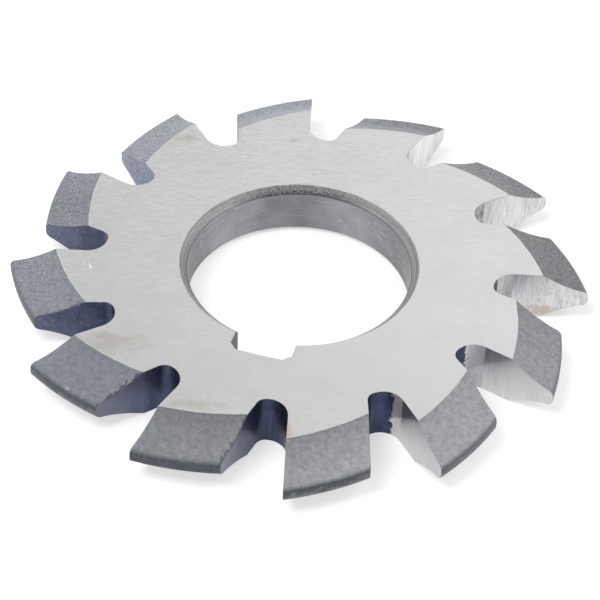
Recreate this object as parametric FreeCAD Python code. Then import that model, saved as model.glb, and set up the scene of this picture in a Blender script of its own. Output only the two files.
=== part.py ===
import FreeCAD, Part
import math
import os

# Sizes of the body, millimetres and degrees
outer_diameter = 57.15
thickness = 5.5
tooth_count = 12
bore_diameter = 22.0
bore_chamfer_top = 0.75
bore_chamfer_bottom = 0.5
keyway_width = 6.0
keyway_depth = 2.65
keyway_corner = 0.75
first_face_angle = 13.4

# Relief and gullets
relief_per_pitch = 3.7
gullet_depth = 9.525
gullet_angle = 25.0
gullet_face_radius = 2.0
gullet_heel_radius = 1.07

# Tooth form, the space between the teeth of the gear that is cut
gear_module = 25.4 / 12
gear_teeth = 30
pressure_angle = 20.0
form_dedendum = 2.12
form_thinning = 0.26
tip_corner_radius = 0.45

# Sizes that follow
outer_radius = outer_diameter / 2
bore_radius = bore_diameter / 2
pitch_angle = 360 / tooth_count
gullet_floor = outer_radius - gullet_depth
gear_pitch_radius = gear_module * gear_teeth / 2
gear_base_radius = gear_pitch_radius * math.cos(math.radians(pressure_angle))
gear_root_radius = gear_pitch_radius - form_dedendum
overrun = thickness * 0.1


def involute(angle):
    return math.tan(angle) - angle


def half_width(depth):
    """Half the width of the tooth form at a depth below its tip."""
    radius = gear_root_radius + depth
    ratio = min(1.0, gear_base_radius / radius)
    half_angle = math.pi / (2 * gear_teeth) - involute(math.radians(pressure_angle))
    half_angle += involute(math.acos(ratio))
    return radius * math.sin(half_angle) - form_thinning


def depth_at(width):
    """Depth below the tip at which the form reaches a half width."""
    low, high = 0.0, outer_radius / 2
    for _ in range(60):
        middle = (low + high) / 2
        if half_width(middle) < width:
            low = middle
        else:
            high = middle
    return (low + high) / 2


def tip_corner():
    """Rounding between tip and flank: centre width, touching point on the flank."""
    radius = tip_corner_radius
    step = radius / 200
    centre_width, touch = half_width(radius), radius
    for i in range(400):
        depth = i * step
        slope = (half_width(depth + step) - half_width(depth)) / step
        tilt = math.atan(slope)
        if depth + radius * math.sin(tilt) >= radius:
            touch = depth
            centre_width = half_width(depth) - radius * math.cos(tilt)
            break
    return centre_width, touch


def relief_centre():
    """Offset axis of the relieving turn, whose circles fall off evenly to the heel."""
    offset = relief_per_pitch / math.radians(pitch_angle)
    middle = math.radians(pitch_angle / 3)
    return FreeCAD.Vector(offset * math.sin(middle), -offset * math.cos(middle), 0)


def section_point(depth, width):
    """Point of the form, as far from the offset axis as its place on the cutting face."""
    centre = relief_centre()
    reach = math.hypot(outer_radius - depth - centre.x, centre.y)
    return centre + FreeCAD.Vector(reach, 0, thickness / 2 + width)


def flank_points(side, start, end, count=7):
    depths = [start + (end - start) * i / (count - 1) for i in range(count)]
    return [section_point(d, side * half_width(d)) for d in depths]


def form_section():
    """Closed section of one tooth, its flanks run on past both faces of the body."""
    centre_width, touch = tip_corner()
    deepest = depth_at(thickness / 2 + overrun)
    rounding = tip_corner_radius
    turn = math.atan2(half_width(touch) - centre_width, rounding - touch) / 2
    bulge_depth = rounding - rounding * math.cos(turn)
    bulge_width = centre_width + rounding * math.sin(turn)
    sides = []
    for side in (-1, 1):
        curve = Part.BSplineCurve()
        curve.interpolate(flank_points(side, deepest, touch))
        corner = Part.Arc(section_point(touch, side * half_width(touch)),
                          section_point(bulge_depth, side * bulge_width),
                          section_point(0, side * centre_width))
        sides.append([curve.toShape(), corner.toShape()])
    lower, upper = sides
    tip = Part.makeLine(section_point(0, -centre_width), section_point(0, centre_width))
    edge_width = half_width(deepest)
    foot_depth = gullet_depth + bore_chamfer_top
    corners = [(deepest, edge_width), (foot_depth, edge_width)]
    corners += [(foot_depth, -edge_width), (deepest, -edge_width)]
    rest = Part.makePolygon([section_point(d, w) for d, w in corners])
    return Part.Wire(lower + [tip] + upper[::-1] + rest.Edges)


def relieved_tooth():
    """One form tooth, turned about the offset axis from its cutting face to its heel."""
    centre = relief_centre()
    axis = FreeCAD.Vector(0, 0, 1)
    edge_angle = math.degrees(math.atan2(-centre.y, outer_radius - centre.x))
    face = Part.Face(form_section())
    face.rotate(centre, axis, edge_angle - 1.5)
    return face.revolve(centre, axis, pitch_angle * 0.93)


def turned(shape, angle):
    copy = shape.copy()
    copy.rotate(FreeCAD.Vector(0, 0, 0), FreeCAD.Vector(0, 0, 1), angle)
    return copy


def gullet():
    """Prism of one gullet, with its cutting face in the plane of the x axis."""
    tilt = math.radians(gullet_angle)
    face_r, heel_r = gullet_face_radius, gullet_heel_radius
    reach = outer_diameter

    def point(along, radial):
        return FreeCAD.Vector(radial, along, -thickness)

    def on_face_arc(angle):
        return point(-face_r + face_r * math.cos(angle),
                     gullet_floor + face_r - face_r * math.sin(angle))

    def on_heel_arc(angle):
        return point(-face_r + heel_r * math.cos(angle),
                     gullet_floor + heel_r - heel_r * math.sin(angle))

    quarter = math.pi / 2
    face_end = on_face_arc(0)
    floor = on_face_arc(quarter)
    heel_end = on_heel_arc(2 * quarter - tilt)
    outside = point(0, outer_radius + relief_per_pitch)
    heel_out = FreeCAD.Vector(heel_end)
    heel_out += FreeCAD.Vector(math.cos(tilt), -math.sin(tilt), 0) * reach / 2
    edges = [
        Part.makeLine(outside, face_end),
        Part.Arc(face_end, on_face_arc(quarter / 2), floor).toShape(),
        Part.Arc(floor, on_heel_arc((3 * quarter - tilt) / 2), heel_end).toShape(),
        Part.makeLine(heel_end, heel_out),
        Part.makeLine(heel_out, outside),
    ]
    outline = Part.Face(Part.Wire(edges))
    return outline.extrude(FreeCAD.Vector(0, 0, 3 * thickness))


def hub():
    """Flat ring around the bore, both ends of the bore chamfered."""
    rim = gullet_floor + gullet_heel_radius
    corners = [
        (bore_radius + bore_chamfer_bottom, 0),
        (rim, 0),
        (rim, thickness),
        (bore_radius + bore_chamfer_top, thickness),
        (bore_radius, thickness - bore_chamfer_top),
        (bore_radius, bore_chamfer_bottom),
    ]
    points = [FreeCAD.Vector(r, 0, z) for r, z in corners]
    ring = Part.Face(Part.makePolygon(points + points[:1]))
    return ring.revolve(FreeCAD.Vector(0, 0, 0), FreeCAD.Vector(0, 0, 1), 360)


def keyway():
    """Slot in the bore wall with its two inner corners cut at 45 degrees."""
    half = keyway_width / 2
    floor = -(bore_radius + keyway_depth)
    cut = keyway_corner
    outline = [
        (-half, -bore_radius * 0.5),
        (-half, floor + cut),
        (-half + cut, floor),
        (half - cut, floor),
        (half, floor + cut),
        (half, -bore_radius * 0.5),
    ]
    points = [FreeCAD.Vector(x, y, -thickness) for x, y in outline]
    face = Part.Face(Part.makePolygon(points + points[:1]))
    return face.extrude(FreeCAD.Vector(0, 0, 3 * thickness))


def cutter():
    angles = [first_face_angle + pitch_angle * i for i in range(tooth_count)]
    slab = Part.makeCylinder(outer_radius * 1.1, thickness)
    tooth = relieved_tooth().common(slab)
    blank = hub().fuse([turned(tooth, a) for a in angles])
    space = gullet()
    body = blank.cut([turned(space, a) for a in angles])
    body = body.cut(keyway())
    return body.removeSplitter().Solids[0]


os.makedirs("parts", exist_ok=True)
cutter().exportStep("parts/gear_cutter.step")
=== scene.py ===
import bmesh
import bpy
import math
from mathutils import Matrix, Vector

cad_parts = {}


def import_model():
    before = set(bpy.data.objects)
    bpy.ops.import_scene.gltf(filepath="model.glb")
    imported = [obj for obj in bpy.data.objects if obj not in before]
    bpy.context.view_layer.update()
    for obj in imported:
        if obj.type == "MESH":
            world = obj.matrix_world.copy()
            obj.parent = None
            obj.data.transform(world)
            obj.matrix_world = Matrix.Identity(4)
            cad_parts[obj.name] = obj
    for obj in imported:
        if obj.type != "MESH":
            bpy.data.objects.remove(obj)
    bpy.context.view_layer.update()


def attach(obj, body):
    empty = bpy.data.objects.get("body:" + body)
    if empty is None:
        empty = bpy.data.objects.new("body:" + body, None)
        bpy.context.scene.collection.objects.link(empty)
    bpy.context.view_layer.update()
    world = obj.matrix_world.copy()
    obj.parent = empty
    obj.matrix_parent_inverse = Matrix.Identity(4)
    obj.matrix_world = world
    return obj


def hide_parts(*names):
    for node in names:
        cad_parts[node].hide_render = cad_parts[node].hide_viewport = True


MM = 0.001

# Sizes of the cutter, millimetres and degrees
OUTER_RADIUS = 28.575
THICKNESS = 5.5
TOOTH_COUNT = 12
PITCH = 360 / TOOTH_COUNT
FIRST_FACE = 13.4
BORE_RADIUS = 11.0
CHAMFER_TOP = 0.75
CHAMFER_BOTTOM = 0.5
KEY_HALF = 3.0
KEY_FLOOR = 13.65
KEY_CORNER = 0.75
RELIEF = 3.7
GULLET_FLOOR = OUTER_RADIUS - 9.525
GULLET_TILT = 25.0
FACE_ROOT = 2.0
HEEL_ROOT = 1.07

# Tooth form, the space between the teeth of the gear that is cut
GEAR_TEETH = 30
PRESSURE_ANGLE = math.radians(20)
PITCH_RADIUS = 25.4 / 12 * GEAR_TEETH / 2
BASE_RADIUS = PITCH_RADIUS * math.cos(PRESSURE_ANGLE)
ROOT_RADIUS = PITCH_RADIUS - 2.12
THINNING = 0.26
TIP_CORNER = 0.65

# Fineness of the mesh
FLANK_STEPS = 14
CORNER_STEPS = 8
SWEEP_STEPS = 16
ROOT_STEPS = 10
HALVINGS = 60
CORNER_TRIES = 400
RING_STEP = 2.5
RING_RADIUS = 17.0
MERGE_DISTANCE = 0.001

# Upper and lower face next to the bore, in sectors of two pitches
BORE_SECTORS = TOOTH_COUNT // 2
BORE_START = FIRST_FACE - 2.5 * PITCH
BORE_STEPS = range(-20, 160)
KEY_CLEARANCE = 1.0
ANGLE_MARGIN = 0.01

# Broken edges
EDGE_WIDTH = 0.03
EDGE_SEGMENTS = 2
EDGE_ANGLE = 20

# Camera, worked out from the photograph
CAMERA_PLACE = (45.42, -172.75, 166.73)
CAMERA_TARGET = (1.58, -5.23, 5.52)
CAMERA_ROLL = 2.366
CAMERA_LENS = 147.19
SENSOR_WIDTH = 36
CLIP_START = 0.01

# Light: place and size in millimetres, and power
KEY_LAMP = ((-150, -160, 420), 260, 1.15)
FILL_LAMP = ((260, 120, 300), 260, 0.35)
WORLD_LIGHT = 0.42
FLOOR_REACH = 2.0
FLOOR_COLOUR = 0.62
FLOOR_LIFT = 0.56
SEEN_RAYS = ("Is Camera Ray", "Is Glossy Ray", "Is Transmission Ray")

# Surfaces of the cutter, in the order of their materials
SURFACES = ["ground_face", "relieved_form", "cutting_face", "root", "heel_wall",
            "bore_wall", "bore_chamfer", "keyway_wall", "worn_and_sheen_edge"]

# Directions of the grinding marks and of the photograph's top, degrees
GRIND_TURN = 16.3
NICK_TURN = GRIND_TURN + 25
UP_IN_PHOTO = 106.3

# Directions round which a finish or its painted light and shade changes, degrees
SHADED_TIPS = -98
FRONT_TIPS = -95
TORN_HEELS = -118
BRIGHT_HEELS = 160
LIT_FLANKS = (-40, 128)
SHADED_FLANKS = 26
EXTRA_LIT_FLANKS = -158
FRONT_FLANKS = -78
LINED_FACES = 50
LIT_FACES = 5
SHADED_FACES = -46.6
BARE_ROOTS = 20
LIT_ROOTS = -36
SPECKLED_ROOT = 36
OLD_ROOTS = 28
PALE_WALLS = -84
LIT_WALLS = -125
SCRATCHED_WALLS = 170
SPECKLED_WALLS = 142
LIT_VIOLET_WALLS = UP_IN_PHOTO + 33

# Marks on the upper face: centre, half sizes and turn, millimetres and degrees
BROWN_SMUDGES = [
    ((-14.0, -16.9), (4.6, 2.0), 22),
    ((-14.3, -15.8), (2.6, 0.8), 5),
    ((-4.0, -21.9), (3.8, 0.85), 14),
    ((-16.3, 14.9), (1.8, 0.9), 16),
    ((-6.0, 17.8), (0.8, 0.6), 16),
]
SCRATCHED_PATCH = ((-19.4, -7.0), (0.9, 1.5), 20)
TAN_SPOT = ((5.45, -22.25), (0.42, 1.6), 13.4)

# Marks on the teeth: centre, half sizes and roughness of the rim, millimetres
TAN_STAIN = ((23.45, 5.6, 0.9), (1.9, 1.9, 0.85), 0.3)
CRACKED_PATCH = ((25.0, 5.95, 1.9), (3.4, 3.4, 1.9), 0.3)
TIP_NICK = ((-16.44, -21.88, 3.65), (0.45, 0.45, 0.32), 0.3)

# Patterns: lines across and along the axis, and the painted reflection bands of the bore
FINE_LINES = (11.0, 0.5)
BROAD_LINES = (1.6, 0.2)
SCALE_LINES = (3.5, 0.25)
KEYWAY_LINES = (4.0, 0.25)
BORE_REFLECTION_BANDS = 5
BORE_REFLECTION_ANGLE = 75

# Colours, a dark and a light one where a pattern goes between two
GROUND = ((0.51, 0.512, 0.51), (0.745, 0.748, 0.748))
GROUND_CLOUD = (0.55, 0.548, 0.54)
DARK_DASH = (0.40, 0.40, 0.395)
PALE_DASH = (0.82, 0.825, 0.825)
BROWN = (0.465, 0.445, 0.42)
TAN = (0.57, 0.46, 0.37)
FRESH_SCRATCH = (0.9, 0.91, 0.91)
SPECK = (0.88, 0.89, 0.89)
# Painted highlight along the edge of the upper and lower face
RIM_HIGHLIGHT = (0.70, 0.82, 0.84)
FLANK = ((0.185, 0.192, 0.206), (0.355, 0.36, 0.37))
BLUISH_FLANK = ((0.185, 0.198, 0.235), (0.36, 0.375, 0.425))
FLANK_GLOW = (0.46, 0.475, 0.54)
GLINT = (0.66, 0.665, 0.68)
# Tip tones: darker scale, with painted shade that lifts away from the front
DARK_TIP = ((0.068, 0.073, 0.092), (0.105, 0.112, 0.132))
LIGHT_TIP = ((0.17, 0.176, 0.192), (0.235, 0.24, 0.255))
TORN_SCALE = (0.07, 0.076, 0.105)
BRIGHT_HEEL = (0.66, 0.62, 0.65)
NICK = (0.72, 0.73, 0.75)
BRIGHT = ((0.45, 0.44, 0.455), (0.93, 0.915, 0.93))
BRIGHTEST = (0.96, 0.95, 0.96)
# Dark steel for the painted shade under the upper face, and for the burr on the chamfer
SHADE_AND_BURR_STEEL = (0.10, 0.10, 0.105)
PIT = (0.16, 0.155, 0.16)
CRACK = (0.08, 0.075, 0.08)
STAIN = (0.54, 0.43, 0.34)
ROOT_SPOT = (0.17, 0.17, 0.175)
NAVY = ((0.034, 0.043, 0.086), (0.073, 0.088, 0.152))
LIT_VIOLET = (0.282, 0.302, 0.438)
SLATE = (0.225, 0.236, 0.29)
SCALE_SCRATCH = (0.3, 0.32, 0.38)
OLD_SCALE = ((0.035, 0.04, 0.044), (0.14, 0.145, 0.148))
CURVED_SCRATCH = (0.42, 0.44, 0.52)
WALL_SPECKLE = ((0.12, 0.13, 0.21), (0.46, 0.47, 0.60))
BORE = ((0.20, 0.20, 0.217), (0.365, 0.362, 0.382))
BORE_SCRATCH = (0.62, 0.62, 0.63)
CHAMFER = ((0.25, 0.25, 0.262), (0.53, 0.53, 0.54))
TORN_CHAMFER = ((0.035, 0.035, 0.04), (0.34, 0.34, 0.35))
KEYWAY = ((0.11, 0.11, 0.124), (0.185, 0.183, 0.203))
# Painted highlight on the broken edges round the upper and lower face
FACE_EDGE_SHEEN = ((0.33, 0.34, 0.35), (0.60, 0.63, 0.64))
CUTTING_EDGE = (0.42, 0.42, 0.43)
HEEL_EDGE = ((0.07, 0.075, 0.10), (0.2, 0.205, 0.225))
BORE_EDGE = (0.3, 0.3, 0.31)


# Tooth form

def involute(angle):
    return math.tan(angle) - angle


def half_width(depth):
    """Half the width of the tooth form at a depth below its tip."""
    radius = ROOT_RADIUS + depth
    ratio = min(1.0, BASE_RADIUS / radius)
    half_angle = math.pi / (2 * GEAR_TEETH) - involute(PRESSURE_ANGLE)
    half_angle += involute(math.acos(ratio))
    return radius * math.sin(half_angle) - THINNING


def land_depth():
    """Depth at which the flank meets the upper or lower face."""
    low, high = 0.0, OUTER_RADIUS / 2
    for _ in range(HALVINGS):
        middle = (low + high) / 2
        if half_width(middle) < THICKNESS / 2:
            low = middle
        else:
            high = middle
    return (low + high) / 2


def tip_corner():
    """Rounding between tip and flank: centre width, touching depth, angle turned."""
    step = 2 * TIP_CORNER / CORNER_TRIES
    for i in range(CORNER_TRIES):
        depth = i * step
        tilt = math.atan((half_width(depth + step) - half_width(depth)) / step)
        if depth + TIP_CORNER * math.sin(tilt) >= TIP_CORNER:
            return half_width(depth) - TIP_CORNER * math.cos(tilt), depth, math.pi / 2 - tilt


def upper_half():
    """Depths and widths from the upper land down to the end of the tip corner."""
    centre, touch, turn = tip_corner()
    deepest = land_depth()
    points = []
    for i in range(FLANK_STEPS + 1):
        depth = deepest + (touch - deepest) * i / FLANK_STEPS
        points.append((depth, half_width(depth)))
    for i in range(1, CORNER_STEPS + 1):
        angle = turn * (1 - i / CORNER_STEPS)
        points.append((TIP_CORNER * (1 - math.cos(angle)), centre + TIP_CORNER * math.sin(angle)))
    return points


def whole_section():
    """Section of a tooth from its upper land round the tip to its lower land."""
    half = upper_half()
    return half + [(d, -w) for d, w in reversed(half)]


# Relief and gullets, in a frame whose x axis lies in the cutting face

def relief_centre():
    """Offset axis of the relieving turn."""
    offset = RELIEF / math.radians(PITCH)
    middle = math.radians(PITCH / 3)
    return Vector((offset * math.sin(middle), -offset * math.cos(middle)))


def flat_turned(point, angle):
    c, s = math.cos(math.radians(angle)), math.sin(math.radians(angle))
    return Vector((c * point[0] - s * point[1], s * point[0] + c * point[1]))


def heel_end():
    """Where the wall behind a tooth leaves the rounding of the gullet."""
    tilt = math.radians(GULLET_TILT)
    return Vector((GULLET_FLOOR + HEEL_ROOT - HEEL_ROOT * math.sin(math.pi - tilt),
                   -FACE_ROOT - HEEL_ROOT * math.cos(tilt)))


def heel_wall_normal():
    """Direction at a right angle to the wall behind a tooth."""
    wall = math.radians(PITCH - GULLET_TILT)
    return Vector((-math.sin(wall), math.cos(wall)))


def heel_wall_distance():
    """Distance of the wall behind a tooth from the cutter's axis."""
    return heel_wall_normal().dot(flat_turned(heel_end(), PITCH))


def heel_sweep(depth):
    """Angle about the relief centre at which a depth of the form meets the heel wall."""
    centre = relief_centre()
    wall = math.radians(PITCH - GULLET_TILT)
    distance = heel_wall_distance() - heel_wall_normal().dot(centre)
    spoke = Vector((OUTER_RADIUS - depth, 0)) - centre
    start = math.atan2(spoke.y, spoke.x)
    return math.degrees(math.asin(distance / spoke.length) + wall - start)


def tooth_point(depth, width, share):
    """Point of a relieved tooth, share 0 on its cutting face and 1 on its heel wall."""
    centre = relief_centre()
    spoke = Vector((OUTER_RADIUS - depth, 0)) - centre
    place = centre + flat_turned(spoke, heel_sweep(depth) * share)
    return Vector((place.x, place.y, THICKNESS / 2 + width))


def root_outline():
    """Flat outline of the gullet's root, from the cutting face round to the heel wall."""
    points = []
    for i in range(ROOT_STEPS + 1):
        angle = math.pi / 2 * i / ROOT_STEPS
        points.append((GULLET_FLOOR + FACE_ROOT - FACE_ROOT * math.sin(angle),
                       -FACE_ROOT + FACE_ROOT * math.cos(angle)))
    span = math.pi / 2 - math.radians(GULLET_TILT)
    for i in range(1, ROOT_STEPS + 1):
        angle = math.pi / 2 + span * i / ROOT_STEPS
        points.append((GULLET_FLOOR + HEEL_ROOT - HEEL_ROOT * math.sin(angle),
                       -FACE_ROOT + HEEL_ROOT * math.cos(angle)))
    return points


# Faces of the body, each the name of a surface and its corner points

def raised(points, height):
    return [Vector((p[0], p[1], height)) for p in points]


def turned(points, angle):
    spin = Matrix.Rotation(math.radians(angle), 3, "Z")
    return [spin @ p for p in points]


def strips(surface, upper, lower):
    """Quads between two lines of points."""
    return [(surface, [upper[i], upper[i + 1], lower[i + 1], lower[i]])
            for i in range(len(upper) - 1)]


def tooth_faces():
    """Flanks, tip, cutting face, heel wall and root of the first tooth."""
    section = whole_section()
    grid = [[tooth_point(d, w, j / SWEEP_STEPS) for d, w in section]
            for j in range(SWEEP_STEPS + 1)]
    faces = []
    for j in range(SWEEP_STEPS):
        for i in range(len(section) - 1):
            corners = [grid[j][i], grid[j][i + 1], grid[j + 1][i + 1], grid[j + 1][i]]
            faces.append(("relieved_form", corners))
    root = root_outline()
    foot = [Vector((root[0][0], root[0][1], h)) for h in (0, THICKNESS)]
    faces.append(("cutting_face", grid[0] + foot))
    heel_foot = turned([Vector((root[-1][0], root[-1][1], h)) for h in (0, THICKNESS)], PITCH)
    faces.append(("heel_wall", grid[-1] + heel_foot))
    faces += strips("root", raised(root, THICKNESS), raised(root, 0))
    return faces


def land_line(height):
    """Edge between flank and upper or lower face, from cutting face to heel."""
    width = height - THICKNESS / 2
    depth = land_depth()
    return [tooth_point(depth, width, j / SWEEP_STEPS) for j in range(SWEEP_STEPS + 1)]


def ring_points(radius, angles, height):
    return [Vector((radius * math.cos(math.radians(a)), radius * math.sin(math.radians(a)), height))
            for a in angles]


def outer_sector(height):
    """Part of the upper or lower face round one cutting face and gullet."""
    middle = SWEEP_STEPS // 2
    land = land_line(height)
    before = turned(land, -PITCH)
    steps = round(PITCH / RING_STEP)
    ring = ring_points(RING_RADIUS, [-PITCH / 2 + RING_STEP * i for i in range(steps + 1)], height)
    gullet = raised(root_outline(), height)
    return ring + land[middle::-1] + gullet + before[:middle - 1:-1]


def keyway_outline(radius):
    """Flat outline of the keyway from its right edge at a radius to its left edge."""
    edge = -math.sqrt(radius ** 2 - KEY_HALF ** 2)
    inner = KEY_HALF - KEY_CORNER
    right = [(KEY_HALF, edge), (KEY_HALF, KEY_CORNER - KEY_FLOOR), (inner, -KEY_FLOOR)]
    return right + [(-x, y) for x, y in reversed(right)]


def bore_angles(radius):
    """Angles round the bore from the keyway's right edge to its left edge."""
    half = math.degrees(math.asin(KEY_HALF / radius))
    clear = math.degrees(math.asin(KEY_HALF / BORE_RADIUS)) + KEY_CLEARANCE
    steps = [BORE_START + RING_STEP * i for i in BORE_STEPS]
    inside = [a for a in steps if clear - 90 < a < 270 - clear]
    return [half - 90] + inside + [270 - half]


def inner_sector(radius, height, index):
    """Part of the upper or lower face next to the bore, two pitches wide."""
    start = BORE_START + 2 * PITCH * index
    end = start + 2 * PITCH + ANGLE_MARGIN
    steps = round(2 * PITCH / RING_STEP)
    outer = ring_points(RING_RADIUS, [start + RING_STEP * i for i in range(steps + 1)], height)
    angles = bore_angles(radius)
    if index < BORE_SECTORS - 1:
        inner = [a for a in angles[1:-1] if start - ANGLE_MARGIN < a < end]
        return outer + ring_points(radius, inner[::-1], height)
    right = [a for a in angles if a < end - 360]
    left = [a for a in angles if a > start - ANGLE_MARGIN]
    points = outer + ring_points(radius, right[::-1], height)[:-1]
    points += raised(keyway_outline(radius), height)
    return points + ring_points(radius, left[::-1], height)[1:]


def bore_faces():
    """Wall of the bore with its two chamfers, and the walls of the keyway."""
    levels = [
        (BORE_RADIUS + CHAMFER_TOP, THICKNESS),
        (BORE_RADIUS, THICKNESS - CHAMFER_TOP),
        (BORE_RADIUS, CHAMFER_BOTTOM),
        (BORE_RADIUS + CHAMFER_BOTTOM, 0),
    ]
    lines = [ring_points(r, bore_angles(r), h) for r, h in levels]
    faces = strips("bore_chamfer", lines[0], lines[1])
    faces += strips("bore_wall", lines[1], lines[2])
    faces += strips("bore_chamfer", lines[2], lines[3])
    upper = raised(keyway_outline(levels[0][0]), THICKNESS)
    lower = raised(keyway_outline(levels[3][0]), 0)
    faces += strips("keyway_wall", upper[1:5], lower[1:5])
    for side, end in ((0, 1), (-1, -2)):
        edge = [line[side] for line in lines]
        faces.append(("keyway_wall", edge + [lower[end], upper[end]]))
    return faces


def body_faces():
    """All faces of the cutter, round the bore first and then tooth by tooth."""
    faces = bore_faces()
    sectors = [(THICKNESS, BORE_RADIUS + CHAMFER_TOP), (0, BORE_RADIUS + CHAMFER_BOTTOM)]
    for height, radius in sectors:
        for index in range(BORE_SECTORS):
            faces.append(("ground_face", inner_sector(radius, height, index)))
    for k in range(TOOTH_COUNT):
        angle = FIRST_FACE + PITCH * k
        for surface, points in tooth_faces():
            faces.append((surface, turned(points, angle)))
        for height, _ in sectors:
            faces.append(("ground_face", turned(outer_sector(height), angle)))
    return faces


def body_mesh():
    """One closed mesh of the whole cutter."""
    mesh = bpy.data.meshes.new("gear_cutter_visual")
    work = bmesh.new()
    for surface, points in body_faces():
        face = work.faces.new([work.verts.new(p * MM) for p in points])
        face.material_index = SURFACES.index(surface)
        face.smooth = True
    bmesh.ops.remove_doubles(work, verts=work.verts, dist=MERGE_DISTANCE * MM)
    bmesh.ops.recalc_face_normals(work, faces=work.faces)
    work.to_mesh(mesh)
    work.free()
    return mesh


# Materials

class Finish:
    """Node tree of one material, with short calls for the nodes used here."""

    def __init__(self, name):
        self.material = bpy.data.materials.new(name)
        self.material.use_nodes = True
        self.tree = self.material.node_tree
        self.tree.nodes.clear()
        self.output = self.add("ShaderNodeOutputMaterial")
        self.shader = self.add("ShaderNodeBsdfPrincipled")
        self.link(self.shader.outputs[0], self.output.inputs["Surface"])
        place = self.add("ShaderNodeTexCoord").outputs["Object"]
        self.place = self.vector("SCALE", place, 1 / MM)

    def add(self, kind, **settings):
        node = self.tree.nodes.new(kind)
        for name, value in settings.items():
            setattr(node, name, value)
        return node

    def link(self, source, target):
        self.tree.links.new(source, target)

    def feed(self, target, value):
        """Connects an output, or sets a plain value."""
        if isinstance(value, bpy.types.NodeSocket):
            self.link(value, target)
        else:
            target.default_value = value

    def math(self, operation, *values):
        node = self.add("ShaderNodeMath", operation=operation)
        for target, value in zip(node.inputs, values):
            self.feed(target, value)
        return node.outputs[0]

    def times(self, first, *others):
        for other in others:
            first = self.math("MULTIPLY", first, other)
        return first

    def plus(self, a, b):
        return self.math("ADD", a, b)

    def minus(self, a, b):
        return self.math("SUBTRACT", a, b)

    def flat_length(self, x, y):
        return self.math("SQRT", self.plus(self.times(x, x), self.times(y, y)))

    def vector(self, operation, a, b):
        node = self.add("ShaderNodeVectorMath", operation=operation)
        self.feed(node.inputs[0], a)
        self.feed(node.inputs["Scale"] if operation == "SCALE" else node.inputs[1], b)
        return node.outputs[0]

    def combine(self, x, y, z):
        node = self.add("ShaderNodeCombineXYZ")
        for target, value in zip(node.inputs, (x, y, z)):
            self.feed(target, value)
        return node.outputs[0]

    def separate(self, vector):
        node = self.add("ShaderNodeSeparateXYZ")
        self.link(vector, node.inputs[0])
        return node.outputs

    def turned(self, vector, turn):
        """Vector in axes that are turned about the cutter's axis."""
        node = self.add("ShaderNodeMapping", vector_type="POINT")
        self.link(vector, node.inputs["Vector"])
        node.inputs["Rotation"].default_value = (0, 0, math.radians(-turn))
        return node.outputs[0]

    def noise(self, vector, scale=1.0, detail=3.0, roughness=0.55):
        node = self.add("ShaderNodeTexNoise")
        self.link(vector, node.inputs["Vector"])
        node.inputs["Scale"].default_value = scale
        node.inputs["Detail"].default_value = detail
        node.inputs["Roughness"].default_value = roughness
        return node.outputs[0]

    def stretched_noise(self, scale, detail, roughness, turn=0.0):
        """Noise with its own scale along each axis, turned about the cutter's axis."""
        place = self.turned(self.place, turn) if turn else self.place
        return self.noise(self.vector("MULTIPLY", place, scale), 1.0, detail, roughness)

    def axial_lines(self, across, along):
        """Fine lines along the axis, as milling and sharpening leave them."""
        return self.stretched_noise((across, across, along), 3, 0.6)

    def ramp(self, value, low, high, start=0.0, end=1.0):
        """Value between low and high mapped to start and end, held outside them."""
        node = self.add("ShaderNodeMapRange")
        for name, setting in zip(("From Min", "From Max", "To Min", "To Max"),
                                 (low, high, start, end)):
            node.inputs[name].default_value = setting
        self.feed(node.inputs["Value"], value)
        return node.outputs[0]

    def blend(self, factor, a, b):
        node = self.add("ShaderNodeMix", data_type="RGBA")
        self.feed(node.inputs["Factor"], factor)
        for target, value in ((node.inputs[6], a), (node.inputs[7], b)):
            self.feed(target, value if isinstance(value, bpy.types.NodeSocket) else (*value, 1))
        return node.outputs[2]

    def tones(self, value, low, high, colours):
        """Colour that goes from the dark one of a pair to the light one."""
        return self.blend(self.ramp(value, low, high), *colours)

    def shade(self, colour, factor):
        """Colour made paler or darker by a factor."""
        return self.vector("SCALE", colour, factor)

    def polar(self):
        """Radius, angle in degrees and height."""
        x, y, z = self.separate(self.place)
        angle = self.times(self.math("ARCTAN2", y, x), 180 / math.pi)
        return self.flat_length(x, y), angle, z

    def toward(self, angle):
        """Cosine of the angle between a point's direction from the axis and an angle."""
        _, own, _ = self.polar()
        return self.math("COSINE", self.times(self.minus(own, angle), math.pi / 180))

    def near(self, angle, low, high, start=0.0, end=1.0):
        """Ramp over the cosine that grows to 1 in the direction of an angle."""
        return self.ramp(self.toward(angle), low, high, start, end)

    def across_photo(self):
        """Distances from the axis to the right and to the back, as the cutter lies."""
        right, back, _ = self.separate(self.turned(self.place, UP_IN_PHOTO - 90))
        return right, back

    def face_distance(self):
        """Distance ahead of the next cutting face."""
        radius, angle, _ = self.polar()
        turns = self.math("DIVIDE", self.minus(angle, FIRST_FACE), PITCH)
        count = self.math("CEIL", self.minus(turns, 0.01))
        left = self.times(self.minus(count, turns), math.radians(PITCH))
        return self.times(radius, self.math("SINE", left))

    def tooth_place(self):
        """Flat place in the tooth's own frame, whose x axis lies in its cutting face."""
        radius, angle, _ = self.polar()
        local = self.math("MODULO", self.minus(angle, FIRST_FACE - 360), PITCH)
        local = self.times(local, math.pi / 180)
        return (self.times(radius, self.math("COSINE", local)),
                self.times(radius, self.math("SINE", local)))

    def heel_distance(self):
        """Distance from the wall behind the tooth, measured at a right angle to it."""
        x, y = self.tooth_place()
        normal = heel_wall_normal()
        across = self.plus(self.times(x, normal.x), self.times(y, normal.y))
        return self.minus(heel_wall_distance(), across)

    def land_distance(self):
        """Distance inside the edge between the flank and the upper or lower face."""
        x, y = self.tooth_place()
        centre = relief_centre()
        reach = self.flat_length(self.minus(x, centre.x), self.minus(y, centre.y))
        edge = (Vector((OUTER_RADIUS - land_depth(), 0)) - centre).length
        return self.minus(edge, reach)

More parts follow.
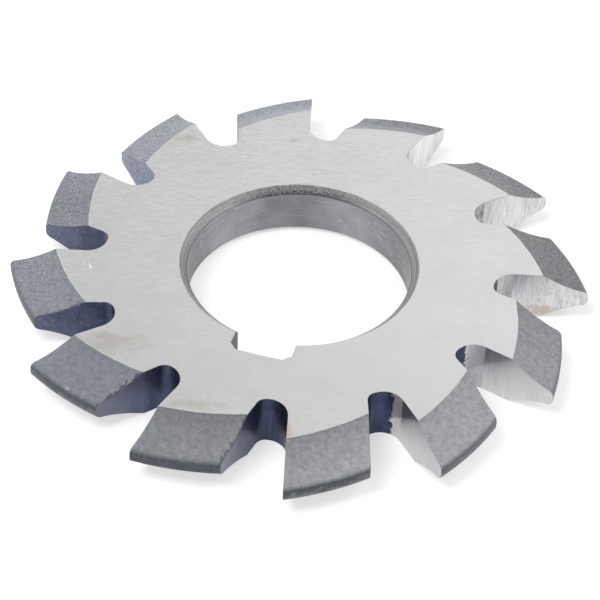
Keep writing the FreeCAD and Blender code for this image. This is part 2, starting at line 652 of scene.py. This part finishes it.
    def ragged_reach(self, vector, scale, rough):
        """Length of a vector, made uneven by a noise."""
        node = self.add("ShaderNodeVectorMath", operation="LENGTH")
        self.link(vector, node.inputs[0])
        ragged = self.noise(self.place, scale, 3, 0.6)
        return self.plus(node.outputs["Value"], self.ramp(ragged, 0.3, 0.7, -rough, rough))

    def spot(self, centre, size, turn):
        """Soft oval mark on a face, 1 in its middle and ragged at its rim."""
        moved = self.turned(self.vector("SUBTRACT", self.place, (*centre, 0)), turn)
        scaled = self.vector("MULTIPLY", moved, (1 / size[0], 1 / size[1], 0))
        return self.ramp(self.ragged_reach(scaled, 0.8, 0.4), 1.0, 0.25)

    def ball(self, centre, size, rough):
        """Mark round a point in space."""
        scaled = self.vector("DIVIDE", self.vector("SUBTRACT", self.place, centre), size)
        return self.ramp(self.ragged_reach(scaled, 1.5, rough), 1.0, 0.5)

    def metal(self, metallic, roughness, colour):
        self.feed(self.shader.inputs["Metallic"], metallic)
        self.feed(self.shader.inputs["Roughness"], roughness)
        self.feed(self.shader.inputs["Base Color"], colour)

    def bump(self, height, distance):
        """Bump of a height from 0 to 1 that stands for a distance in millimetres."""
        node = self.add("ShaderNodeBump")
        node.inputs["Strength"].default_value = 1.0
        node.inputs["Distance"].default_value = distance * MM
        self.link(height, node.inputs["Height"])
        self.link(node.outputs[0], self.shader.inputs["Normal"])


# Ground faces

def grind_noise(f, along, across, detail, roughness, turn=GRIND_TURN):
    """Noise stretched along the grinding marks."""
    return f.stretched_noise((along, across, 1.0), detail, roughness, turn)


def ground_dashes(f):
    """Marks of the grinding wheel, short dashes and longer lines together."""
    dashes = grind_noise(f, 1.25, 9.0, 1, 0.5)
    lines = grind_noise(f, 0.35, 3.5, 2, 0.6)
    return f.plus(f.times(dashes, 0.7), f.times(lines, 0.3))


def ground_colour(f, dashes):
    """Pale steel with its dashes, quieter at the front and on the right, and painted light that
    makes it paler to the right and darker at the front.
    """
    right, back = f.across_photo()
    contrast = f.times(f.ramp(back, -14, 8, 0.2, 0.55), f.ramp(right, 2, 15, 1.0, 0.6))
    colour = f.tones(f.times(f.minus(dashes, 0.5), contrast), -0.2, 0.2, GROUND)
    cloud = f.noise(f.place, 0.25, 4, 0.6)
    colour = f.blend(f.ramp(cloud, 0.42, 0.66, 0.0, 0.3), colour, GROUND_CLOUD)
    # Painted light: paler to the right, darker at the front
    colour = f.shade(colour, f.ramp(right, -22, 18, 0.9, 1.14))
    colour = f.shade(colour, f.ramp(back, -18, -8, 0.955, 1.0))
    fleck = grind_noise(f, 1.1, 7.0, 1, 0.5)
    dark = f.times(f.ramp(fleck, 0.62, 0.70, 0.0, 0.6), contrast)
    pale = f.times(f.ramp(fleck, 0.38, 0.30, 0.0, 0.6), contrast)
    return f.blend(pale, f.blend(dark, colour, DARK_DASH), PALE_DASH)


def ground_stains(f, colour):
    """Brown smudges, and a tan spot beside a gullet."""
    streak = grind_noise(f, 0.5, 2.6, 3, 0.6)
    for centre, size, turn in BROWN_SMUDGES:
        mark = f.times(f.spot(centre, size, turn), f.ramp(streak, 0.34, 0.6, 0.4, 0.8))
        colour = f.blend(mark, colour, BROWN)
    return f.blend(f.times(f.spot(*TAN_SPOT), 0.75), colour, TAN)


def ground_nicks(f, colour):
    """One scratched patch, and bright specks all over."""
    nicks = grind_noise(f, 4.0, 1.2, 2, 0.5, NICK_TURN)
    mark = f.times(f.spot(*SCRATCHED_PATCH), f.ramp(nicks, 0.56, 0.64))
    colour = f.blend(mark, colour, FRESH_SCRATCH)
    speck = grind_noise(f, 2.2, 4.0, 2, 0.5)
    return f.blend(f.ramp(speck, 0.735, 0.78), colour, SPECK)


def ground_rim_highlight(f, colour):
    """Painted highlight, a thin pale line along the edge to the flanks, left and right but not at
    the front.
    """
    right, back = f.across_photo()
    sides = f.times(f.ramp(f.math("ABSOLUTE", right), 12, 17), f.ramp(back, -14, -9))
    rim = f.times(sides, f.ramp(f.land_distance(), 0.13, 0.06, 0.0, 0.65))
    return f.blend(rim, colour, RIM_HIGHLIGHT)


def ground_finish():
    """Surface-ground steel: short straight dashes, faint smudges and bright specks."""
    f = Finish("ground_steel")
    dashes = ground_dashes(f)
    colour = ground_stains(f, ground_colour(f, dashes))
    colour = ground_rim_highlight(f, ground_nicks(f, colour))
    f.metal(0.75, f.ramp(dashes, 0.3, 0.7, 0.36, 0.5), colour)
    f.bump(dashes, 0.01)
    return f.material


# Relieved form

def flank_grain(f, fine):
    """Grain of the flanks about 0, stronger at the back, where the extra strength is painted
    grazing light.
    """
    coarse = f.noise(f.place, 1.9, 3, 0.6)
    _, back = f.across_photo()
    grain = f.times(f.minus(fine, 0.5), f.ramp(back, -12, 8, 0.22, 1.0))
    mottle = f.times(f.minus(coarse, 0.5), f.ramp(back, -12, 8, 0.42, 0.3))
    return f.plus(grain, mottle)


def flank_colour(f, grain):
    """Dull steel, bluish on the left and at the back, with painted light and shade that make it
    paler or darker by direction.
    """
    right, back = f.across_photo()
    plain = f.tones(grain, -0.16, 0.16, FLANK)
    bluish = f.tones(grain, -0.16, 0.16, BLUISH_FLANK)
    blue = f.math("MAXIMUM", f.ramp(right, -4, -18, 0.0, 0.7), f.ramp(back, 22.5, 25.5, 0.0, 0.9))
    colour = f.blend(blue, plain, bluish)
    # Painted light and shade: flanks paler or darker by their direction round the cutter
    front, rear = LIT_FLANKS
    lit = f.math("MAXIMUM", f.near(front, 0.6, 1.0), f.near(rear, 0.7, 1.0))
    colour = f.shade(colour, f.ramp(lit, 0.0, 1.0, 0.91, 1.36))
    colour = f.shade(colour, f.near(SHADED_FLANKS, 0.88, 0.98, 1.0, 0.88))
    return f.shade(colour, f.near(EXTRA_LIT_FLANKS, 0.9, 0.98, 1.0, 1.16))


def flank_border(f, colour):
    """Flanks next to the upper and lower face: darker at the front, paler at the back."""
    land = f.land_distance()
    _, back = f.across_photo()
    fall = f.plus(f.ramp(land, -3.2, -0.4, 0.06, -0.12), f.ramp(land, -0.22, -0.05, 0.0, -0.16))
    fall = f.times(fall, f.near(FRONT_FLANKS, 0.75, 0.95))
    colour = f.shade(colour, f.plus(fall, 1.0))
    glow = f.times(f.ramp(land, -2.6, -0.8), f.ramp(back, 20, 24), 0.7)
    return f.blend(glow, colour, FLANK_GLOW)


def flank_glints(f, colour):
    """Painted glints, small bright grains at the back only."""
    _, back = f.across_photo()
    spark = f.noise(f.place, 6.5, 1, 0.5)
    glints = f.times(f.ramp(spark, 0.63, 0.70), f.ramp(back, -6, 6, 0.0, 0.75))
    return f.blend(glints, colour, GLINT)


def tip_share(f):
    """1 on the tip and its rounded corners, 0 on the flanks."""
    normal = f.separate(f.add("ShaderNodeNewGeometry").outputs["Normal"])[2]
    return f.ramp(f.math("ABSOLUTE", normal), 0.88, 0.36)


def tip_colour(f, grain):
    """Tip of darker scale with painted shade: dark under the upper corner, paler in patches below
    it and away from the front.
    """
    height = f.separate(f.place)[2]
    patch = f.noise(f.place, 0.9, 3, 0.6)
    level = f.plus(height, f.ramp(patch, 0.3, 0.7, -0.45, 0.45))
    level = f.plus(level, f.near(SHADED_TIPS, 0.93, 0.99, 0.0, 0.8))
    dark = f.tones(grain, 0.36, 0.64, DARK_TIP)
    light = f.tones(grain, 0.36, 0.64, LIGHT_TIP)
    middle = THICKNESS / 2
    tone = f.blend(f.ramp(level, middle + 0.25, middle - 0.3), dark, light)
    return f.blend(f.near(FRONT_TIPS, 0.9, 0.4, 0.0, 0.75), tone, light)


def torn_heel(f):
    """Small notches of scale that eat into the flank along its heel edge."""
    radius, _, _ = f.polar()
    gap = f.heel_distance()
    along = f.plus(radius, f.times(gap, 0.7))
    place = f.combine(f.times(along, 2.2), f.times(gap, 1.1), f.times(f.toward(0), 9.0))
    notch = f.noise(place, 1.0, 4, 0.7)
    torn = f.near(TORN_HEELS, 0.76, 0.90)
    reach = f.times(f.ramp(notch, 0.38, 0.70, -0.02, 0.6), torn)
    return f.times(f.ramp(f.minus(gap, reach), 0.05, -0.07), torn)


def flank_wear(f, colour, fine):
    """Torn scale on some heel edges, bright grains on others, and a nick on one tip."""
    colour = f.blend(f.times(torn_heel(f), 0.85), colour, TORN_SCALE)
    bright = f.times(f.ramp(f.heel_distance(), 0.16, 0.06), f.ramp(fine, 0.48, 0.60),
                     f.near(BRIGHT_HEELS, 0.85, 0.96, 0.0, 0.7))
    colour = f.blend(bright, colour, BRIGHT_HEEL)
    return f.blend(f.times(f.ball(*TIP_NICK), 0.8), colour, NICK)


def relieved_finish():
    """Relieved form, dull and mottled, grainier at the back with painted grazing light, darker at
    the tip with painted shade.
    """
    f = Finish("relieved_form")
    fine = f.noise(f.place, 5.0, 2, 0.65)
    grain = flank_grain(f, fine)
    colour = flank_border(f, flank_colour(f, grain))
    colour = f.blend(tip_share(f), flank_glints(f, colour), tip_colour(f, fine))
    colour = flank_wear(f, colour, fine)
    f.metal(0.55, f.ramp(grain, -0.2, 0.2, 0.62, 0.46), colour)
    f.bump(fine, 0.05)
    return f.material


# Cutting faces, gullets and heel walls

def bright_lines(f):
    """Lines along the axis that sharpening leaves, fine and broad ones together."""
    return f.plus(f.times(f.axial_lines(*FINE_LINES), 0.6),
                  f.times(f.axial_lines(*BROAD_LINES), 0.4))


def shaded_corner(f):
    """Painted shade and dark reflection: a dark zone under the upper face, next to the cutting face
    and narrower to the tip.
    """
    radius, _, height = f.polar()
    border = f.plus(height, f.times(radius, -0.8))
    zone = f.times(f.ramp(border, -13.95, -13.5), f.ramp(f.face_distance(), 1.1, 0.45))
    return f.times(zone, f.near(SHADED_FACES, 0.78, 0.99, 0.0, 0.66))


def bright_colour(f, lines):
    """Sharpened steel with small dark pits, and painted light and shade: darker at the front and
    towards the tip, paler at the back and near the root of one tooth.
    """
    radius, _, _ = f.polar()
    _, back = f.across_photo()
    strength = f.near(LINED_FACES, 0.4, 0.95, 0.36, 1.05)
    colour = f.tones(f.times(f.minus(lines, 0.46), strength), -0.16, 0.12, BRIGHT)
    # Painted light and shade by radius, by side and on one tooth near the root
    colour = f.shade(colour, f.ramp(radius, 23.5, 27.0, 1.0, 0.88))
    colour = f.shade(colour, f.ramp(back, -21, -9, 0.84, 0.98))
    colour = f.shade(colour, f.ramp(back, 14, 19, 1.0, 1.06))
    lift = f.times(f.ramp(radius, 23.0, 21.0), f.near(LIT_FACES, 0.9, 1.0, 0.0, 0.16))
    colour = f.shade(colour, f.plus(lift, 1.0))
    colour = f.blend(shaded_corner(f), colour, SHADE_AND_BURR_STEEL)
    pits = f.plus(f.noise(f.place, 3.2, 2, 0.6), f.ramp(radius, 21.0, 19.6, 0.0, 0.07))
    return f.blend(f.ramp(pits, 0.69, 0.76, 0.0, 0.75), colour, PIT)


def cutting_cracks(f):
    """Thin broken cracks in one patch."""
    wander = f.noise(f.place, 1.0, 4, 0.65)
    thin = f.ramp(f.math("ABSOLUTE", f.minus(wander, 0.5)), 0.014, 0.004)
    broken = f.ramp(f.noise(f.place, 1.4, 1, 0.5), 0.45, 0.55)
    return f.times(thin, broken, f.ball(*CRACKED_PATCH), 0.85)


def cutting_finish():
    """Sharpened cutting face, with fine cracks and a tan stain on one tooth."""
    f = Finish("cutting_face")
    lines = bright_lines(f)
    colour = f.blend(cutting_cracks(f), bright_colour(f, lines), CRACK)
    colour = f.blend(f.times(f.ball(*TAN_STAIN), 0.72), colour, STAIN)
    f.metal(0.8, f.ramp(lines, 0.3, 0.7, 0.26, 0.4), colour)
    f.bump(lines, 0.01)
    return f.material


def navy_colour(f, lines):
    """Blue-black scale with pale scratches, and painted violet light on the walls that face
    backwards.
    """
    cloud = f.noise(f.place, 0.6, 3, 0.6)
    tone = f.plus(f.times(lines, 0.35), f.times(cloud, 0.65))
    colour = f.tones(tone, 0.36, 0.64, NAVY)
    # Painted light: paler violet on the walls that face backwards
    lit_violet = f.math("POWER", f.near(LIT_VIOLET_WALLS, 0.55, 1.0), 2.0)
    colour = f.blend(f.times(lit_violet, f.ramp(tone, 0.3, 0.7, 0.7, 1.0)), colour, LIT_VIOLET)
    scratch = f.stretched_noise((1.5, 1.5, 5.0), 2, 0.5)
    return f.blend(f.ramp(scratch, 0.70, 0.76, 0.0, 0.35), colour, SCALE_SCRATCH)


def bare_colour(f):
    """Steel of the bare strip in the roots, spotted on one tooth, and paler at one side with a
    painted reflection of the pale floor.
    """
    colour = bright_colour(f, bright_lines(f))
    # Painted reflection of the pale floor, paler roots on two teeth
    colour = f.shade(colour, f.near(LIT_ROOTS, 0.93, 0.96, 1.0, 1.45))
    colour = f.vector("MINIMUM", colour, BRIGHTEST)
    speckle = f.stretched_noise((3.5, 3.5, 1.6), 3, 0.7)
    spots = f.times(f.ramp(speckle, 0.44, 0.56), f.near(SPECKLED_ROOT, 0.955, 0.99, 0.0, 0.7))
    return f.blend(spots, colour, ROOT_SPOT)


def root_finish():
    """Gullet root: scale, ground away next to the cutting face along a ragged edge."""
    f = Finish("gullet_root")
    lines = f.axial_lines(*SCALE_LINES)
    ragged = f.noise(f.place, 1.8, 4, 0.65)
    edge = f.plus(f.minus(ragged, 0.5), f.face_distance())
    reach = f.near(BARE_ROOTS, 0.1, 0.55, -0.3, 0.8)
    bare = f.ramp(f.minus(edge, reach), 0.06, -0.06)
    rough = f.tones(ragged, 0.42, 0.6, OLD_SCALE)
    scale = f.blend(f.near(OLD_ROOTS, 0.86, 0.96), navy_colour(f, lines), rough)
    f.metal(f.ramp(bare, 0.0, 1.0, 0.9, 0.25), f.ramp(bare, 0.0, 1.0, 0.36, 0.34),
            f.blend(bare, scale, bare_colour(f)))
    f.bump(lines, 0.012)
    return f.material


def heel_scratches(f, colour):
    """Thin curved scratches, clearer on the left."""
    wander = f.noise(f.place, 0.9, 2, 0.5)
    thin = f.ramp(f.math("ABSOLUTE", f.minus(wander, 0.52)), 0.008, 0.002)
    strength = f.times(f.ramp(wander, 0.44, 0.54, 0.0, 0.5),
                       f.near(SCRATCHED_WALLS, 0.6, 0.95, 0.25, 1.0))
    return f.blend(f.times(thin, strength), colour, CURVED_SCRATCH)


def heel_speckle(f, colour):
    """Coarse grains of scale on the walls at the back left."""
    speckle = f.stretched_noise((4.5, 4.5, 2.2), 2, 0.6)
    coarse = f.near(SPECKLED_WALLS, 0.75, 0.95, 0.0, 0.55)
    dark, light = WALL_SPECKLE
    colour = f.blend(f.times(f.ramp(speckle, 0.52, 0.66), coarse), colour, light)
    return f.blend(f.times(f.ramp(speckle, 0.46, 0.34), coarse), colour, dark)


def heel_finish():
    """Wall behind a tooth: scale that pales towards the tip, scratched and speckled, with painted
    light on some walls.
    """
    f = Finish("heel_wall")
    lines = f.axial_lines(*SCALE_LINES)
    radius, _, _ = f.polar()
    pale = f.times(f.ramp(radius, 20.5, 26.5), f.near(PALE_WALLS, 0.72, 1.0, 0.2, 1.06))
    colour = f.blend(pale, navy_colour(f, lines), SLATE)
    # Painted light, paler walls round one direction
    colour = f.shade(colour, f.near(LIT_WALLS, 0.8, 0.9, 1.0, 1.22))
    colour = heel_speckle(f, heel_scratches(f, colour))
    f.metal(0.9, f.ramp(lines, 0.3, 0.7, 0.34, 0.48), colour)
    f.bump(lines, 0.015)
    return f.material


# Bore, keyway and edges

def bore_reflection_bands(f):
    """Painted reflections, broad soft bands round the bore."""
    _, angle, _ = f.polar()
    around = f.times(f.minus(angle, BORE_REFLECTION_ANGLE), BORE_REFLECTION_BANDS * math.pi / 180)
    return f.ramp(f.math("COSINE", around), -1.0, 1.0, 0.36, 0.64)


def bore_finish():
    """Ground bore with fine scratches that run round it, painted reflection bands, and painted
    shade at its two ends.
    """
    f = Finish("bore_wall")
    fine = f.stretched_noise((0.47, 0.47, 9.0), 3, 0.6)
    broad = f.noise(f.place, 0.4, 2, 0.5)
    tone = f.plus(f.times(fine, 0.3), f.times(broad, 0.25))
    tone = f.plus(tone, f.times(bore_reflection_bands(f), 0.45))
    aside = f.math("ABSOLUTE", f.across_photo()[0])
    # Painted shade, darker at the two ends of the bore as the cutter lies
    colour = f.shade(f.tones(tone, 0.40, 0.60, BORE), f.ramp(aside, 9.0, 10.8, 1.0, 0.8))
    scratch = f.stretched_noise((0.8, 0.8, 13.0), 1, 0.5)
    scratch = f.plus(scratch, f.ramp(aside, 3.0, 8.0, -0.03, 0.05))
    colour = f.blend(f.ramp(scratch, 0.70, 0.76, 0.0, 0.8), colour, BORE_SCRATCH)
    f.metal(0.8, f.ramp(fine, 0.3, 0.7, 0.3, 0.42), colour)
    f.bump(fine, 0.006)
    return f.material


def chamfer_finish():
    """Turned chamfer: rings, torn and dark on the side away from the keyway."""
    f = Finish("bore_chamfer")
    height = f.separate(f.place)[2]
    foot = THICKNESS - CHAMFER_TOP
    rings = f.stretched_noise((0.1, 0.1, 6.0), 2, 0.5)
    grain = f.noise(f.place, 7.5, 2, 0.7)
    tone = f.plus(f.times(rings, 0.5), f.times(grain, 0.5))
    burr = f.times(f.ramp(height, foot + 0.16, foot + 0.06), f.ramp(grain, 0.38, 0.58, 0.0, 0.8))
    smooth = f.blend(burr, f.tones(tone, 0.36, 0.64, CHAMFER), SHADE_AND_BURR_STEEL)
    low = f.ramp(height, foot, THICKNESS - 0.3, -0.13, 0.05)
    torn = f.tones(f.plus(grain, low), 0.36, 0.64, TORN_CHAMFER)
    f.metal(0.7, 0.46, f.blend(f.near(UP_IN_PHOTO, 0.78, 0.97), smooth, torn))
    f.bump(grain, 0.05)
    return f.material


def keyway_finish():
    """Broached keyway walls, lined along the axis."""
    f = Finish("keyway_wall")
    lines = f.axial_lines(*KEYWAY_LINES)
    f.metal(0.3, 0.55, f.tones(lines, 0.35, 0.65, KEYWAY))
    f.bump(lines, 0.012)
    return f.material


def edge_finish():
    """Broken edges: worn, with a pale painted highlight round the two faces, steel at the cutting
    edges, dark elsewhere.
    """
    f = Finish("worn_and_sheen_edge")
    wear = f.noise(f.place, 1.2, 3, 0.6)
    radius, _, height = f.polar()
    heel = f.tones(wear, 0.45, 0.6, HEEL_EDGE)
    dull = f.blend(f.ramp(f.face_distance(), 0.15, 0.4), CUTTING_EDGE, heel)
    dull = f.blend(f.ramp(radius, 16.0, 15.0), dull, BORE_EDGE)
    pale = f.tones(wear, 0.4, 0.62, FACE_EDGE_SHEEN)
    level = f.math("ABSOLUTE", f.minus(height, THICKNESS / 2))
    f.metal(0.8, 0.42, f.blend(f.ramp(level, 2.6, 2.68), dull, pale))
    return f.material


def finishes():
    """Materials in the order of SURFACES."""
    return [ground_finish(), relieved_finish(), cutting_finish(), root_finish(), heel_finish(),
            bore_finish(), chamfer_finish(), keyway_finish(), edge_finish()]


# The piece

def broken_edges(piece):
    """Rounds all sharp edges of the piece a little."""
    bevel = piece.modifiers.new("edges", "BEVEL")
    bevel.width = EDGE_WIDTH * MM
    bevel.segments = EDGE_SEGMENTS
    bevel.limit_method = "ANGLE"
    bevel.angle_limit = math.radians(EDGE_ANGLE)
    bevel.harden_normals = True
    bevel.material = SURFACES.index("worn_and_sheen_edge")
    bevel.use_clamp_overlap = False
    bpy.context.view_layer.objects.active = piece
    with bpy.context.temp_override(object=piece, active_object=piece):
        bpy.ops.object.modifier_apply(modifier=bevel.name)


def cutter():
    """The dressed cutter, which stands for the CAD solid."""
    mesh = body_mesh()
    for material in finishes():
        mesh.materials.append(material)
    piece = bpy.data.objects.new("gear_cutter_body", mesh)
    bpy.context.scene.collection.objects.link(piece)
    broken_edges(piece)
    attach(piece, "root")
    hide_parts("gear_cutter")


# Surroundings

def ray_share(tree, kinds):
    """1 for the named kinds of ray and 0 for the others."""
    path = tree.nodes.new("ShaderNodeLightPath")
    total = None
    for kind in kinds:
        source = path.outputs[kind]
        if total is None:
            total = source
            continue
        node = tree.nodes.new("ShaderNodeMath")
        node.operation = "MAXIMUM"
        tree.links.new(total, node.inputs[0])
        tree.links.new(source, node.inputs[1])
        total = node.outputs[0]
    return total


def world():
    """Plain white surroundings, dimmer for the light that they give."""
    scene_world = bpy.data.worlds.new("studio")
    scene_world.use_nodes = True
    tree = scene_world.node_tree
    tree.nodes.clear()
    seen = ray_share(tree, SEEN_RAYS)
    strength = tree.nodes.new("ShaderNodeMapRange")
    strength.inputs["To Min"].default_value = WORLD_LIGHT
    strength.inputs["To Max"].default_value = 1.0
    tree.links.new(seen, strength.inputs["Value"])
    background = tree.nodes.new("ShaderNodeBackground")
    background.inputs["Color"].default_value = (1, 1, 1, 1)
    tree.links.new(strength.outputs[0], background.inputs["Strength"])
    output = tree.nodes.new("ShaderNodeOutputWorld")
    tree.links.new(background.outputs[0], output.inputs["Surface"])
    bpy.context.scene.world = scene_world


def floor():
    """Pale floor that keeps the cutter's shadow and reads white round it."""
    mesh = bpy.data.meshes.new("floor")
    corners = [(x, y, 0) for x, y in ((-1, -1), (1, -1), (1, 1), (-1, 1))]
    mesh.from_pydata([Vector(c) * FLOOR_REACH for c in corners], [], [(0, 1, 2, 3)])
    ground = bpy.data.objects.new("floor", mesh)
    bpy.context.scene.collection.objects.link(ground)
    mesh.materials.append(floor_material())


def floor_material():
    """Pale matt floor, lifted to white where it is seen directly."""
    material = bpy.data.materials.new("floor")
    material.use_nodes = True
    tree = material.node_tree
    tree.nodes.clear()
    diffuse = tree.nodes.new("ShaderNodeBsdfDiffuse")
    diffuse.inputs["Color"].default_value = (FLOOR_COLOUR, FLOOR_COLOUR, FLOOR_COLOUR, 1)
    lift = tree.nodes.new("ShaderNodeEmission")
    scaled = tree.nodes.new("ShaderNodeMath")
    scaled.operation = "MULTIPLY"
    scaled.inputs[1].default_value = FLOOR_LIFT
    tree.links.new(ray_share(tree, SEEN_RAYS), scaled.inputs[0])
    tree.links.new(scaled.outputs[0], lift.inputs["Strength"])
    both = tree.nodes.new("ShaderNodeAddShader")
    tree.links.new(diffuse.outputs[0], both.inputs[0])
    tree.links.new(lift.outputs[0], both.inputs[1])
    output = tree.nodes.new("ShaderNodeOutputMaterial")
    tree.links.new(both.outputs[0], output.inputs["Surface"])
    return material


def aimed(place, target, roll=0.0):
    """Matrix of something at a place whose -Z axis points at a target, millimetres."""
    back = (Vector(place) - Vector(target)).normalized()
    side = Vector((0, 0, 1)).cross(back).normalized()
    basis = Matrix((side, back.cross(side), back)).transposed()
    basis = basis @ Matrix.Rotation(math.radians(roll), 3, "Z")
    return Matrix.Translation(Vector(place) * MM) @ basis.to_4x4()


def lamp(name, place, size, power):
    """Soft round lamp that points at the cutter."""
    light = bpy.data.lights.new(name, "AREA")
    light.shape = "DISK"
    light.size = size * MM
    light.energy = power
    holder = bpy.data.objects.new(name, light)
    holder.matrix_world = aimed(place, (0, 0, 0))
    holder.visible_glossy = False
    bpy.context.scene.collection.objects.link(holder)


def camera():
    data = bpy.data.cameras.new("camera")
    data.lens = CAMERA_LENS
    data.sensor_width = SENSOR_WIDTH
    data.clip_start = CLIP_START
    holder = bpy.data.objects.new("camera", data)
    holder.matrix_world = aimed(CAMERA_PLACE, CAMERA_TARGET, CAMERA_ROLL)
    bpy.context.scene.collection.objects.link(holder)
    bpy.context.scene.camera = holder


def surroundings():
    world()
    floor()
    lamp("key", *KEY_LAMP)
    lamp("fill", *FILL_LAMP)
    camera()
    bpy.context.scene.view_settings.view_transform = "Standard"


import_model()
cutter()
surroundings()
